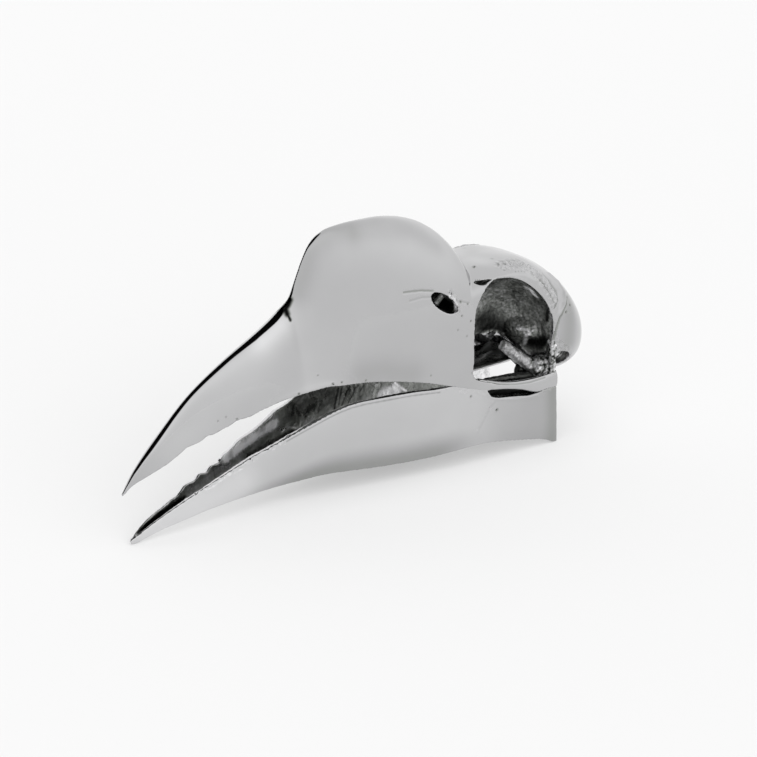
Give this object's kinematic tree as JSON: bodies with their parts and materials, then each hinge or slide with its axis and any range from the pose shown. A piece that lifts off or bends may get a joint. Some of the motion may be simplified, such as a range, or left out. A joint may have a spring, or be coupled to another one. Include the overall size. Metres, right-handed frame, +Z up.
{
  "type": "chrome-plated hornbill skull",
  "caption": "Life-size hornbill skull in bright chrome: long down-curved bill, tall casque, open eye sockets and a separate lower jaw that it rests on.",
  "frame": {"origin": "on the surface that the skull rests on, under the middle of its bounding box", "axes": "-X towards the tip of the bill, +X towards the back of the head, +Y towards the skull's right side, +Z up"},
  "size_m": [0.1728, 0.0396, 0.0845],
  "materials": {
    "chrome_plate": "mirror-polished chrome plating over bone, with small pits and fine scratches",
    "chrome_inner": "darker, slightly rough chrome plating in the eye sockets and jaw joint"
  },
  "bodies": {
    "root": {"upper_bill": "chrome_plate", "casque": "chrome_plate", "cranium": "chrome_plate", "lower_bill": "chrome_plate", "jaw_left": "chrome_plate", "jaw_right": "chrome_plate", "jugal_left": "chrome_plate", "jugal_right": "chrome_plate", "quadrate_left": "chrome_inner", "quadrate_right": "chrome_inner", "pterygoid_left": "chrome_inner", "pterygoid_right": "chrome_inner", "palatine_left": "chrome_inner", "palatine_right": "chrome_inner"}
  },
  "joints": []
}
